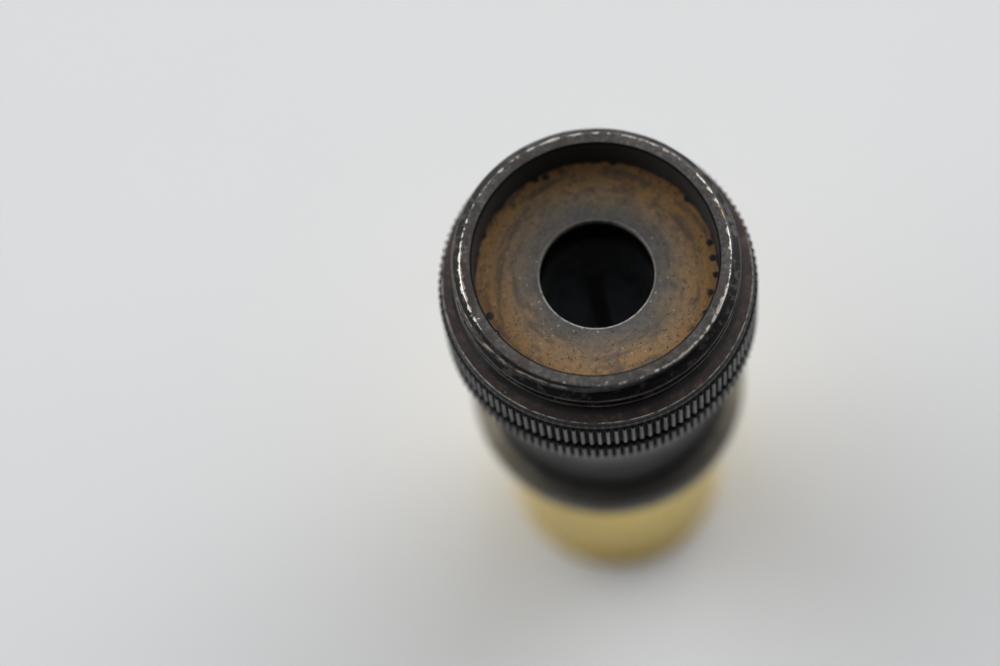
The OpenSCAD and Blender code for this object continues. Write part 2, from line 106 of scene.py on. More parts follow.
# Sizes that several pieces share
THREAD_R = mount("telescope_thread")["r_mm"]
PITCH = 25.4 / 16               # the thread has 16 turns to the inch
KNURL_R = reach("threaded_nose")
RECESS_R = reach("diaphragm_disc") + GAP
DISC_TOP = top("diaphragm_disc")
DISC_FOOT = foot("diaphragm_disc")
HOLE_R = 6.4                    # hole in the diaphragm
RIM_R = 14.8
SHOULDER_R = 17.2
SHOULDER = 5.5                  # depth of the shoulder that seats against the telescope
THROAT_R = reach("dust_glass_ring") + GAP
CAM_BORE_R = reach("cam_ring") + 0.05
BASE_BORE_R = reach("slit_base") + GAP
SKIRT_R = 14.6                  # spigot under the slit ring
SKIRT_END = top("black_sleeve") + 4.7
GROOVE_R = KNURL_R - 0.8        # groove between the knurled rings
BARREL_R = reach("brass_barrel")
BARREL_BORE_R = reach("collimator_cell") + GAP
FLANGE_R = reach("black_sleeve")
DRIVE_SCREWS = (25, 155)        # degrees round the axis
SET_SCREWS = (90, 210, 330)
GUIDE_SCREW = 90
SCREW_HOLE_R = 0.82             # hole for the shank of any of these screws
SCREW_SEAT_R = 1.3              # seat for a screw head
SLOT_SPARE = 4.5                # degrees that a slot runs past its screw's travel, at each end


# ---------------------------------------------------------------- turned pieces

def rounded(corners, steps=4):
    """A closed outline in which each (radius, depth, rounding) corner has become an arc."""
    path = []
    for i, (radius, depth, size) in enumerate(corners):
        corner = Vector((radius, depth))
        if not size:
            path.append(corner)
            continue
        back = (Vector(corners[i - 1][:2]) - corner).normalized()
        ahead = (Vector(corners[(i + 1) % len(corners)][:2]) - corner).normalized()
        half = back.angle(ahead) / 2
        centre = corner + (back + ahead).normalized() * size / math.sin(half)
        start = corner + back * size / math.tan(half) - centre
        end = corner + ahead * size / math.tan(half) - centre
        path += [centre + start.slerp(end, k / steps) * size for k in range(steps + 1)]
    return path


def refined(path, high, low, step, inside=0):
    """The outline with every edge between two depths, outside a radius, cut into short steps."""
    fine = []
    for here, ahead in zip(path, path[1:] + path[:1]):
        fine.append(here)
        depths = sorted((here.y, ahead.y))
        if depths[0] >= high - 1e-6 and depths[1] <= low + 1e-6 and min(here.x, ahead.x) > inside:
            count = math.ceil((ahead - here).length / step)
            fine += [here.lerp(ahead, k / count) for k in range(1, count)]
    return fine


def turned(name, path, segments, relief=None):
    """A closed solid turned about the axis. relief(radius, depth, angle) cuts teeth or a thread."""
    outline = np.array([tuple(p) for p in path])
    rows = len(outline)
    angle = np.arange(segments) * TURN / segments
    radius = np.repeat(outline[:, :1], segments, axis=1)
    depth = np.repeat(outline[:, 1:], segments, axis=1)
    if relief:
        radius = relief(radius, depth, angle[None, :])
    x, y = radius * np.cos(angle), radius * np.sin(angle)
    points = np.stack([x, y, RIM_Z - depth], axis=-1).reshape(-1, 3) * MM
    row, seg = np.divmod(np.arange(rows * segments), segments)
    next_row, next_seg = (row + 1) % rows, (seg + 1) % segments
    quads = np.stack([row * segments + seg, next_row * segments + seg,
                      next_row * segments + next_seg, row * segments + next_seg], axis=-1)
    following = np.roll(outline, -1, axis=0)
    area = (outline[:, 0] * following[:, 1] - following[:, 0] * outline[:, 1]).sum()
    if area > 0:
        quads = quads[:, ::-1]
    mesh = bpy.data.meshes.new(name)
    mesh.from_pydata(points.tolist(), [], quads.tolist())
    smooth_but_corners(mesh)
    return placed(name, mesh)


def smooth_but_corners(mesh):
    mesh.shade_smooth()
    mesh.set_sharp_from_angle(angle=CORNER)


def placed(name, data):
    """A new object in the scene."""
    made = bpy.data.objects.new(name, data)
    bpy.context.scene.collection.objects.link(made)
    return made


def tooth_relief(radius, depth, angle, teeth, crest_r, height, high, low, shape):
    """Cuts a ring of straight knurling between two depths. shape turns 0 to 1 into a share of height."""
    across = np.abs((angle * teeth / TURN + 0.5) % 1 - 0.5) * 2
    limit = crest_r - height * shape(across)
    inside = (depth > high - 1e-6) & (depth < low + 1e-6)
    return np.where(inside, np.minimum(radius, limit), radius)


def round_tooth(across):
    """A rounded crest that falls steeply into a flat groove; 0 is the middle of the crest."""
    return np.interp(across, (0, 0.25, 0.5, 0.75, 1), (0, 0.12, 0.55, 1, 1))


def sharp_tooth(across):
    """A plain vee."""
    return across


def peg(angle, depth, from_r, to_r, size):
    """A radial cylinder for cutting a hole."""
    mesh = bmesh.new()
    place = (Matrix.Rotation(math.radians(angle), 4, "Z")
             @ Matrix.Translation(((from_r + to_r) / 2 * MM, 0, (RIM_Z - depth) * MM))
             @ Matrix.Rotation(math.pi / 2, 4, "Y"))
    bmesh.ops.create_cone(mesh, cap_ends=True, segments=48, radius1=size * MM,
                          radius2=size * MM, depth=(to_r - from_r) * MM, matrix=place)
    return cutter(mesh)


def slab(angles, radii, depths, steps=24):
    """A block bent round the axis for cutting a slot."""
    mesh = bmesh.new()
    for i in range(steps + 1):
        a = math.radians(angles[0] + (angles[1] - angles[0]) * i / steps)
        for r, depth in ((radii[0], depths[0]), (radii[1], depths[0]),
                         (radii[1], depths[1]), (radii[0], depths[1])):
            mesh.verts.new((r * math.cos(a) * MM, r * math.sin(a) * MM, (RIM_Z - depth) * MM))
    mesh.verts.ensure_lookup_table()
    for i in range(steps):
        for side in range(4):
            ahead = (side + 1) % 4
            mesh.faces.new([mesh.verts[4 * i + side], mesh.verts[4 * i + ahead],
                            mesh.verts[4 * (i + 1) + ahead], mesh.verts[4 * (i + 1) + side]])
    mesh.faces.new([mesh.verts[k] for k in (3, 2, 1, 0)])
    mesh.faces.new([mesh.verts[4 * steps + k] for k in range(4)])
    bmesh.ops.recalc_face_normals(mesh, faces=mesh.faces)
    return cutter(mesh)


def cutter(mesh):
    data = bpy.data.meshes.new("cutter")
    mesh.to_mesh(data)
    mesh.free()
    return placed("cutter", data)


def cut(piece, tools):
    """Takes each tool's shape out of a piece."""
    for tool in tools:
        step = piece.modifiers.new("cut", "BOOLEAN")
        step.operation = "DIFFERENCE"
        step.solver = "MANIFOLD"
        step.object = tool
    seen = piece.evaluated_get(bpy.context.evaluated_depsgraph_get())
    mesh = bpy.data.meshes.new_from_object(seen)
    piece.modifiers.clear()
    piece.data = mesh
    smooth_but_corners(mesh)
    for tool in tools:
        bpy.data.objects.remove(tool)
    return piece


# ---------------------------------------------------------------- visible pieces

UPPER_TEETH = (6.85, 11.6)      # depths that the nose's knurling runs between
LOWER_TEETH_TOP = 0.65          # depth of the slit ring's knurling below the top of that ring
TEETH = 118
TOOTH_H = 0.4
TOOTH_SEGMENTS = 8              # mesh columns to a tooth
THREAD_H = 0.64 * PITCH
ROOT_R = THREAD_R - THREAD_H
HALF_CREST = 0.13               # half the width of a crest's flat
FIRST_CREST = 0.5               # depth of the first crest at the front
THREAD_END = 4.45
STEP = SHOULDER + 0.85          # foot of the shoulder's wall
NOSE_FLANGE_END = UPPER_TEETH[1] + 0.65


def thread_radius(depth, angle):
    """Radius of the right-hand thread: flat crests and roots joined by 27.5 degree flanks."""
    turn = (depth - FIRST_CREST) / PITCH + (angle + TURN / 4) / TURN
    from_crest = np.abs((turn + 0.5) % 1 - 0.5) * PITCH
    slope = 1 / math.tan(math.radians(27.5))
    return np.clip(THREAD_R - (from_crest - HALF_CREST) * slope, ROOT_R, THREAD_R)


def nose_relief(radius, depth, angle):
    threaded = (depth > 0.2) & (depth < THREAD_END + 0.05)
    radius = np.where(threaded, np.minimum(radius, thread_radius(depth, angle)), radius)
    return tooth_relief(radius, depth, angle, TEETH, KNURL_R, TOOTH_H, *UPPER_TEETH, round_tooth)


def threaded_nose():
    high, low = UPPER_TEETH
    jaws_end = top("slit_base")
    cam_top = top("cam_ring") - 0.1
    path = rounded([
        (RECESS_R, 0, 0.2),
        (RIM_R, 0, 0.14),
        (THREAD_R, THREAD_R - RIM_R, 0),
        (THREAD_R, THREAD_END - 0.45, 0),
        (ROOT_R, THREAD_END, 0),
        (ROOT_R, SHOULDER, 0.15),
        (SHOULDER_R, SHOULDER, 0.07),
        (SHOULDER_R, STEP, 0.06),
        (KNURL_R - TOOTH_H + 0.02, high, 0),
        (KNURL_R, high + 0.36, 0.05),
        (KNURL_R, low - 0.3, 0.05),
        (KNURL_R - 0.3, low, 0.03),
        (GROOVE_R, low, 0.05),
        (GROOVE_R, NOSE_FLANGE_END, 0),
        (SKIRT_R, NOSE_FLANGE_END, 0),
        (SKIRT_R, SKIRT_END, 0.1),
        (BASE_BORE_R, SKIRT_END, 0.1),
        (BASE_BORE_R, jaws_end, 0),
        (CAM_BORE_R, jaws_end, 0),
        (CAM_BORE_R, cam_top, 0),
        (THROAT_R, cam_top, 0),
        (THROAT_R, DISC_FOOT, 0.1),
        (RECESS_R, DISC_FOOT, 0)])
    path = refined(path, 0.05, THREAD_END, 0.09, inside=RECESS_R + 0.5)
    path = refined(path, high, high + 0.36, 0.07, inside=GROOVE_R + 0.1)
    nose = turned("nose_body", path, TEETH * TOOTH_SEGMENTS, nose_relief)
    depth = middle("drive_screws")
    half = SCREW_HOLE_R + 0.08
    turn = joint("slit_turn")["range_deg"][1]
    slots = [slab((a - SLOT_SPARE, a + turn + SLOT_SPARE), (THROAT_R - 1, SKIRT_R + 1),
                  (depth - half, depth + half)) for a in DRIVE_SCREWS]
    seats = [peg(a, middle("sleeve_set_screws"), SKIRT_R - 0.5, SKIRT_R + 1, SCREW_HOLE_R)
             for a in SET_SCREWS]
    return cut(nose, slots + seats)


def diaphragm():
    outer = RECESS_R - GAP
    path = rounded([
        (HOLE_R, DISC_TOP, 0.1),
        (outer, DISC_TOP, 0.06),
        (outer, DISC_FOOT, 0.06),
        (HOLE_R, DISC_FOOT, 0.1)])
    return turned("diaphragm_plate", path, 256)


def knurled_slit_ring():
    high, low = top("slit_ring"), foot("slit_ring")
    teeth_top = high + LOWER_TEETH_TOP
    bore = SKIRT_R + 0.05
    path = rounded([
        (bore, high, 0.05),
        (GROOVE_R, high, 0.05),
        (GROOVE_R, teeth_top, 0.05),
        (KNURL_R - 0.34, teeth_top, 0),
        (KNURL_R, teeth_top + 0.3, 0.05),
        (KNURL_R, low - 0.3, 0.05),
        (KNURL_R - 0.3, low, 0.03),
        (bore, low, 0.05)])
    path = refined(path, teeth_top, teeth_top + 0.3, 0.07, inside=GROOVE_R + 0.1)

    def relief(radius, depth, angle):
        return tooth_relief(radius, depth, angle, TEETH, KNURL_R, TOOTH_H,
                            teeth_top, low, round_tooth)

    ring = turned("slit_ring_body", path, TEETH * TOOTH_SEGMENTS, relief)
    screw = middle("drive_screws")
    holes = [peg(a, screw, SKIRT_R - 1, KNURL_R + 1, SCREW_HOLE_R) for a in DRIVE_SCREWS]
    seats = [peg(a, screw, GROOVE_R - 1, KNURL_R + 1, SCREW_SEAT_R) for a in DRIVE_SCREWS]
    return cut(ring, holes + seats)


SLEEVE_R = 14.2                 # the tube between the collar and the flange
COLLAR_R = 15.6
COLLAR_END = 23.1               # depth of the collar's foot
FLANGE_H = 3.7
FLANGE_TEETH = 190
CAP_TEETH = 150
FINE_H = 0.25                   # height of the fine teeth on the flange and the eye cap
FINE_SEGMENTS = 6


def sleeve():
    high, low = top("black_sleeve"), foot("black_sleeve")
    flange = low - FLANGE_H
    cove = COLLAR_R - SLEEVE_R - 0.1
    bore = BARREL_R + 0.05
    path = rounded([
        (SKIRT_R + GAP, high, 0.05),
        (COLLAR_R, high, 0.25),
        (COLLAR_R, COLLAR_END, 0.08),
        (SLEEVE_R, COLLAR_END, cove),
        (SLEEVE_R, flange, 1.7),
        (FLANGE_R - FINE_H - 0.08, flange, 0),
        (FLANGE_R, flange + 0.28, 0),
        (FLANGE_R, low - 0.12, 0),
        (FLANGE_R - 0.12, low, 0),
        (bore, low, 0.12),
        (bore, SKIRT_END + 0.1, 0),
        (SKIRT_R + GAP, SKIRT_END + 0.1, 0)], steps=6)

    def relief(radius, depth, angle):
        return tooth_relief(radius, depth, angle, FLANGE_TEETH, FLANGE_R, FINE_H,
                            flange, low, sharp_tooth)

    tube = turned("sleeve_tube", path, FLANGE_TEETH * FINE_SEGMENTS, relief)
    guide = middle("focus_guide_screw")
    holes = [peg(a, middle("sleeve_set_screws"), SKIRT_R - 0.2, COLLAR_R + 1, SCREW_HOLE_R)
             for a in SET_SCREWS]
    holes += [peg(GUIDE_SCREW, guide, bore - 0.5, FLANGE_R + 1, SCREW_HOLE_R),
              peg(GUIDE_SCREW, guide, FLANGE_R - 1.2, FLANGE_R + 1, SCREW_SEAT_R + 0.05)]
    return cut(tube, holes)


def barrel():
    high, low = top("brass_barrel"), foot("brass_barrel")
    path = rounded([
        (BARREL_BORE_R, high, 0.15),
        (BARREL_R, high, 0.3),
        (BARREL_R, low, 0.05),
        (BARREL_BORE_R, low, 0.05)])
    tube = turned("barrel_tube", path, 256)
    guide = middle("focus_guide_screw")
    travel = joint("focus_draw")["range_m"][1] / MM
    slot_r = SCREW_HOLE_R + 0.03
    ends = [peg(GUIDE_SCREW, depth, BARREL_BORE_R - 1, BARREL_R + 1, slot_r)
            for depth in (guide, guide - travel)]
    half = math.degrees(slot_r / BARREL_R)
    between = slab((GUIDE_SCREW - half, GUIDE_SCREW + half),
                   (BARREL_BORE_R - 1, BARREL_R + 1), (guide - travel, guide), steps=4)
    return cut(tube, ends + [between])


def eye_end():
    low, spigot_top = foot("eye_cap"), top("eye_cap")
    cap_top = foot("brass_barrel")
    seat, seat_r = foot("eye_window"), reach("eye_window") + GAP
    high, end = low - 4.3, low - 0.9
    crest = BARREL_R - 0.05
    groove = crest - FINE_H - 0.04
    spigot_r, spigot_bore = BARREL_BORE_R - GAP, 9
    eye_hole, eye_mouth = 3.5, 7
    path = rounded([
        (eye_mouth, low, 0.15),
        (BARREL_R, low, 0.4),
        (BARREL_R, end, 0.06),
        (groove, end, 0),
        (crest, end - 0.25, 0),
        (crest, high + 0.25, 0),
        (groove, high, 0),
        (BARREL_R, high, 0.06),
        (BARREL_R, cap_top, 0.08),
        (spigot_r, cap_top, 0.05),
        (spigot_r, spigot_top, 0.12),
        (spigot_bore, spigot_top, 0.1),
        (spigot_bore, cap_top - 0.1, 0),
        (seat_r, cap_top - 0.1, 0),
        (seat_r, seat, 0),
        (eye_hole, seat, 0.04),
        (eye_hole, seat + 1.1, 0.06)])

    def relief(radius, depth, angle):
        return tooth_relief(radius, depth, angle, CAP_TEETH, crest, FINE_H,
                            high + 0.03, end - 0.03, sharp_tooth)

    return turned("eye_cap_body", path, CAP_TEETH * FINE_SEGMENTS, relief)


# ---------------------------------------------------------------- materials

WRAP_R = 15                     # radius at which a wrapped feature has its full length


def tone(red, green, blue):
    """A colour given as it looks on a screen, 0 to 255, as linear light."""
    return tuple(((c / 255 + 0.055) / 1.055) ** 2.4 if c > 10 else c / 255 / 12.92
                 for c in (red, green, blue)) + (1,)


class Look:
    """A node material. It works in the piece's own coordinates, in millimetres, so it rides along."""

    def __init__(self, name):
        self.material = bpy.data.materials.new(name)
        self.material.use_nodes = True
        self.tree = self.material.node_tree
        self.shader = self.tree.nodes["Principled BSDF"]
        place = self.node("ShaderNodeTexCoord").outputs["Object"]
        self.place = self.vector("SCALE", place, scale=1 / MM)
        split = self.node("ShaderNodeSeparateXYZ", Vector=self.place)
        self.x, self.y, height = split.outputs
        self.depth = self.math("SUBTRACT", RIM_Z, height)
        flat = self.node("ShaderNodeCombineXYZ", X=self.x, Y=self.y).outputs[0]
        self.radius = self.vector("LENGTH", flat, output="Value")
        self.facing = self.vector("NORMALIZE", flat)

    def node(self, kind, **inputs):
        made = self.tree.nodes.new(kind)
        for name, value in inputs.items():
            self.feed(made.inputs[name.replace("_", " ")], value)
        return made

    def feed(self, socket, value):
        if isinstance(value, bpy.types.NodeSocket):
            self.tree.links.new(value, socket)
        else:
            socket.default_value = value

    def set(self, **inputs):
        """Feeds the shader's own inputs; an underscore stands for a space."""
        for name, value in inputs.items():
            self.feed(self.shader.inputs[name.replace("_", " ")], value)

    def vector(self, operation, *values, scale=None, output="Vector"):
        made = self.node("ShaderNodeVectorMath")
        made.operation = operation
        for socket, value in zip(made.inputs, values):
            self.feed(socket, value)
        if scale is not None:
            self.feed(made.inputs["Scale"], scale)
        return made.outputs[output]

    def math(self, operation, *values):
        made = self.node("ShaderNodeMath")
        made.operation = operation
        for socket, value in zip(made.inputs, values):
            self.feed(socket, value)
        return made.outputs[0]

    def both(self, *shares):
        """The product of several shares."""
        product = shares[0]
        for share in shares[1:]:
            product = self.math("MULTIPLY", product, share)
        return product

    def either(self, *shares):
        """The largest of several shares."""
        most = shares[0]
        for share in shares[1:]:
            most = self.math("MAXIMUM", most, share)
        return most

    def ramp(self, value, start, end, low=0.0, high=1.0):
        """Turns a value smoothly from low to high between start and end."""
        made = self.node("ShaderNodeMapRange", Value=value)
        made.interpolation_type = "SMOOTHSTEP"
        rising = start < end
        self.feed(made.inputs["From Min"], start if rising else end)
        self.feed(made.inputs["From Max"], end if rising else start)
        self.feed(made.inputs["To Min"], low if rising else high)
        self.feed(made.inputs["To Max"], high if rising else low)
        return made.outputs[0]

    def band(self, value, low, high, soft):
        """1 between two values, falling softly to 0 outside them."""
        return self.both(self.ramp(value, low - soft, low + soft),
                         self.ramp(value, high + soft, high - soft))

    def mix(self, share, first, second):
        made = self.node("ShaderNodeMix")
        made.data_type = "RGBA"
        self.feed(made.inputs[0], share)
        self.feed(made.inputs[6], first)
        self.feed(made.inputs[7], second)
        return made.outputs[2]

    def colours(self, value, *stops):
        """A colour from (value, colour) stops, for a value from 0 to 1."""
        made = self.node("ShaderNodeValToRGB", Fac=value)
        elements = made.color_ramp.elements
        while len(elements) < len(stops):
            elements.new(1.0)
        for element, (position, colour) in zip(elements, stops):
            element.position = position
            element.color = colour
        return made.outputs[0]

    def noise(self, size, seed=0.0, detail=4.0, rough=0.6, place=None):
        """Smooth noise about 0.5 whose features are about a size across."""
        made = self.node("ShaderNodeTexNoise", Vector=place or self.place, Scale=1 / size,
                         Detail=detail, Roughness=rough)
        made.noise_dimensions = "4D"
        self.feed(made.inputs["W"], seed)
        return made.outputs[0]

    def spots(self, size, spot, seed, chance, flat=False):
        """Round spots, one in each cell of a size, kept in a share of the cells."""
        shifted = self.vector("ADD", self.place, (seed, seed * 1.7, seed * 0.6))
        made = self.node("ShaderNodeTexVoronoi", Vector=shifted, Scale=1 / size)
        made.voronoi_dimensions = "2D" if flat else "3D"
        draw = self.node("ShaderNodeSeparateColor", Color=made.outputs["Color"]).outputs
        spread = self.math("MULTIPLY", spot / size, self.math("ADD", 0.4, draw[1]))
        inside = self.math("SUBTRACT", spread, made.outputs["Distance"])
        return self.both(self.ramp(inside, 0.0, 0.05), self.math("LESS_THAN", draw[0], chance))

    def wrapped(self, along, across):
        """A place whose features run round the axis: long along it and short across."""
        turned_place = self.vector("SCALE", self.facing, scale=WRAP_R / along)
        lifted = self.math("DIVIDE", self.math("ADD", self.depth, self.radius), across)
        up = self.node("ShaderNodeCombineXYZ", Z=lifted).outputs[0]
        return self.vector("ADD", turned_place, up)

    def toward(self, angle, width):
        """1 towards an angle round the axis, falling to 0 at a width on either side, in degrees."""
        a = math.radians(angle)
        along = self.vector("DOT_PRODUCT", self.facing, (math.cos(a), math.sin(a), 0),
                            output="Value")
        return self.ramp(along, math.cos(math.radians(width)), 1.0)

    def bump(self, height, depth):
        """Feeds the shader a surface raised by a height of 0 to 1, times a depth."""
        made = self.node("ShaderNodeBump", Height=height, Distance=depth * MM)
        self.set(Normal=made.outputs[0])


BARE = tone(222, 216, 204)
LACQUER = tone(30, 28, 28)
BRASS = (0.87, 0.645, 0.13, 1)


def black_lacquer(name, *wears):
    """Old gloss black, which reflects less where it is darkest.

    Each wear takes and returns colour, metal and roughness.
    """
    look = Look(name)
    cloud = look.noise(6, seed=1)
    grain = look.noise(0.35, seed=2, detail=6)
    scratch = look.ramp(look.noise(1, seed=3, detail=2, place=look.wrapped(9, 0.05)), 0.66, 0.74)
    dust = look.ramp(look.noise(0.16, seed=5, detail=2), 0.62, 0.7)
    crumbs = look.spots(1.1, 0.12, 4, 0.4)
    colour = look.mix(look.ramp(cloud, 0.35, 0.7), LACQUER, tone(38, 35, 34))
    colour = look.mix(look.both(scratch, 0.35), colour, tone(96, 92, 86))
    colour = look.mix(look.both(dust, 0.3), colour, tone(104, 98, 90))
    colour = look.mix(look.both(crumbs, 0.7), colour, tone(160, 154, 144))
    roughness = look.ramp(look.math("ADD", cloud, look.both(grain, 0.4)), 0.4, 1.0, 0.24, 0.5)
    finish = (colour, 0.0, roughness)
    for wear in wears:
        finish = wear(look, *finish)
    colour, metal, roughness = finish
    shine = look.ramp(colour, tone(16, 15, 15)[0], tone(28, 26, 26)[0], 0.12, 0.5)
    look.set(Base_Color=colour, Metallic=metal, Roughness=roughness, Specular_IOR_Level=shine)
    look.bump(look.math("ADD", look.both(grain, 0.5), look.both(scratch, -0.5)), 0.02)
    return look.material


def knurl_wear_and_shade(look, colour, metal, roughness):
    """Crests lightened grey, partly worn smooth by hands and partly painted sheen, with painted shade in
    the grooves and on the end bevels.
    """
    teeth = look.ramp(look.depth, UPPER_TEETH[0] - 0.05, UPPER_TEETH[0] + 0.1)
    crest = look.both(teeth, look.ramp(look.radius, KNURL_R - 0.16, KNURL_R - 0.03))
    groove = look.both(teeth, look.ramp(look.radius, KNURL_R - 0.12, KNURL_R - 0.3))
    ends = [look.band(look.depth, high, high + 0.3, 0.04)
            for high in (UPPER_TEETH[0], top("slit_ring") + LOWER_TEETH_TOP)]
    bevel = look.both(look.either(*ends), look.ramp(look.radius, KNURL_R - 0.5, KNURL_R - 0.4), 0.8)
    patch = look.noise(1.5, seed=6, detail=5, rough=0.7)
    # The crests' grey is part wear and part painted sheen
    polish_and_sheen = look.mix(look.ramp(patch, 0.35, 0.7), tone(58, 57, 56), tone(104, 102, 99))
    colour = look.mix(crest, colour, polish_and_sheen)
    # Painted shade: grooves and end bevels darkened to near black
    colour = look.mix(look.either(groove, bevel), colour, tone(16, 15, 15))
    dull = look.ramp(groove, 0.0, 1.0, 0.0, 0.4)
    return colour, metal, look.math("ADD", roughness, dull)


def rubbed_rim(look, colour, grain, above):
    """Dark on the chamfer, brown where lacquer has thinned, and rubbed grey on the flat top."""
    chamfer = look.both(look.ramp(look.radius, RIM_R + 0.02, RIM_R + 0.12), above)
    colour = look.mix(look.both(chamfer, 0.9), colour, tone(17, 16, 17))
    outside = look.ramp(look.radius, RECESS_R - 0.1, RECESS_R + 0.3)
    thin = look.ramp(look.noise(1.6, seed=13, detail=6, rough=0.7), 0.52, 0.62)
    primer = look.both(thin, above, outside)
    colour = look.mix(look.both(primer, 0.28), colour, tone(74, 54, 42))
    flat = look.both(look.ramp(look.depth, 0.1, 0.03),
                     look.ramp(look.radius, RIM_R + 0.05, RIM_R - 0.05))
    rubbed = look.colours(grain, (0.34, tone(54, 51, 51)), (0.5, tone(76, 73, 71)),
                          (0.66, tone(112, 107, 101)))
    browned = look.ramp(look.noise(2.2, seed=16, detail=5, rough=0.7), 0.46, 0.62, 0.0, 0.75)
    rubbed = look.mix(browned, rubbed, tone(64, 54, 49))
    return look.mix(look.both(flat, 0.9), colour, rubbed), primer


def bare_rim(look, grain):
    """A broken bare line round the rim's outer edge, fullest at its sides, and small chips."""
    gap = look.toward(221, 24)
    full = look.either(look.toward(185, 45), look.toward(335, 75), look.both(look.toward(90, 80), 0.7))
    from_edge = look.math("ABSOLUTE", look.math("SUBTRACT", look.radius, RIM_R - 0.04))
    limit = look.math("ADD", 0.56, look.both(gap, 0.3))
    limit = look.math("SUBTRACT", limit, look.both(full, 0.14))
    limit = look.math("ADD", limit, look.both(from_edge, 0.6))
    breaks = look.noise(1.1, seed=12, detail=6, rough=0.75)
    line = look.both(look.ramp(from_edge, 0.5, 0.4), look.ramp(look.depth, 0.5, 0.3),
                     look.ramp(look.math("SUBTRACT", breaks, limit), 0.0, 0.03))
    chips = look.both(look.ramp(look.depth, 0.5, 0.2), look.ramp(grain, 0.66, 0.69))
    return look.either(line, chips)


def worn_thread(look, colour, above):
    """Crests worn brown, bare in places on the left, with one spot of verdigris."""
    turns = look.math("DIVIDE", look.math("SUBTRACT", look.depth, FIRST_CREST), PITCH)
    angle = look.math("ARCTAN2", look.y, look.x)
    turns = look.math("ADD", turns, look.math("DIVIDE", angle, TURN))
    from_crest = look.math("PINGPONG", look.math("ADD", turns, 0.25), 0.5)
    chamfer_end = THREAD_R - RIM_R
    corner = look.band(look.depth, chamfer_end - 0.06, chamfer_end + 0.06, 0.04)
    crest = look.both(look.either(look.ramp(from_crest, 0.13, 0.06), look.both(corner, 0.6)), above,
                      look.ramp(look.radius, RIM_R + 0.15, RIM_R + 0.3))
    fade = look.noise(1, seed=17, detail=5, rough=0.7, place=look.wrapped(1.6, 0.7))
    colour = look.mix(look.both(crest, look.ramp(fade, 0.35, 0.6), 0.7), colour, tone(84, 72, 60))
    left = look.both(look.toward(225, 60), look.ramp(look.depth, 1.3, 1.0))
    worst = look.math("ADD", fade, look.both(left, 0.12))
    bare = look.both(crest, look.ramp(worst, 0.62, 0.68), 0.7)
    verdigris = look.both(look.toward(244, 3), look.band(look.depth, 0.4, 0.75, 0.1), crest)
    return look.mix(verdigris, colour, tone(96, 128, 100)), crest, bare


def stained_shoulder(look, colour):
    """A maroon shoulder with a thin bare line on its edge, and a near-black wall below."""
    shoulder = look.both(look.band(look.depth, SHOULDER - 0.15, SHOULDER + 0.12, 0.04),
                         look.ramp(look.radius, SHOULDER_R - 1.2, SHOULDER_R - 0.8))
    stain = look.noise(1.2, seed=14, detail=6, rough=0.7)
    maroon = look.colours(stain, (0.36, tone(38, 27, 26)), (0.52, tone(58, 42, 38)),
                          (0.68, tone(92, 70, 60)))
    strength = look.ramp(stain, 0.3, 0.6, 0.45, 1.0)
    colour = look.mix(look.both(shoulder, strength), colour, maroon)
    lip = look.both(look.ramp(look.radius, SHOULDER_R - 0.12, SHOULDER_R - 0.04),
                    look.band(look.depth, SHOULDER - 0.1, SHOULDER + 0.12, 0.05),
                    look.ramp(look.noise(1, seed=15, detail=5), 0.4, 0.56), 0.6)
    wall = look.both(look.band(look.depth, SHOULDER + 0.14, STEP + 0.15, 0.05),
                     look.ramp(look.radius, SHOULDER_R - 0.3, SHOULDER_R - 0.1))
    # The wall below the shoulder's edge is darkened to near black
    return look.mix(wall, colour, tone(13, 12, 12)), shoulder, lip


def shaded_recess_edge(look, colour):
    """A dark edge of painted shade above a paler wall."""
    recess = look.ramp(look.radius, RECESS_R + 0.28, RECESS_R + 0.18)
    # Painted shade: near black at the rim's inner edge, paler lower down the wall
    edge_shade_over_wall = look.mix(look.ramp(look.depth, 0.2, 0.5), tone(18, 17, 18), tone(46, 43, 41))
    return look.mix(recess, colour, edge_shade_over_wall), recess


def nose_wear_and_shade(look, colour, metal, roughness):
    """Wear on the rim, thread and shoulder, painted shade on the recess's edge, and bare metal over all
    of it.
    """
    grain = look.noise(0.5, seed=11, detail=5, rough=0.7)
    above = look.ramp(look.depth, SHOULDER, SHOULDER - 0.3)
    colour, primer = rubbed_rim(look, colour, grain, above)
    colour, crest, bare_crest = worn_thread(look, colour, above)
    colour, shoulder, lip = stained_shoulder(look, colour)
    colour, recess = shaded_recess_edge(look, colour)
    bare = look.either(bare_rim(look, grain), bare_crest, lip)
    copper = look.either(look.toward(9, 5), look.both(look.toward(47, 4), 0.6), bare_crest)
    colour = look.mix(bare, colour, look.mix(copper, BARE, tone(176, 140, 100)))
    dull = look.either(look.both(look.either(shoulder, primer, crest), 0.12), look.both(recess, 0.4))
    return colour, look.either(metal, look.both(bare, 0.8)), look.math("ADD", roughness, dull)


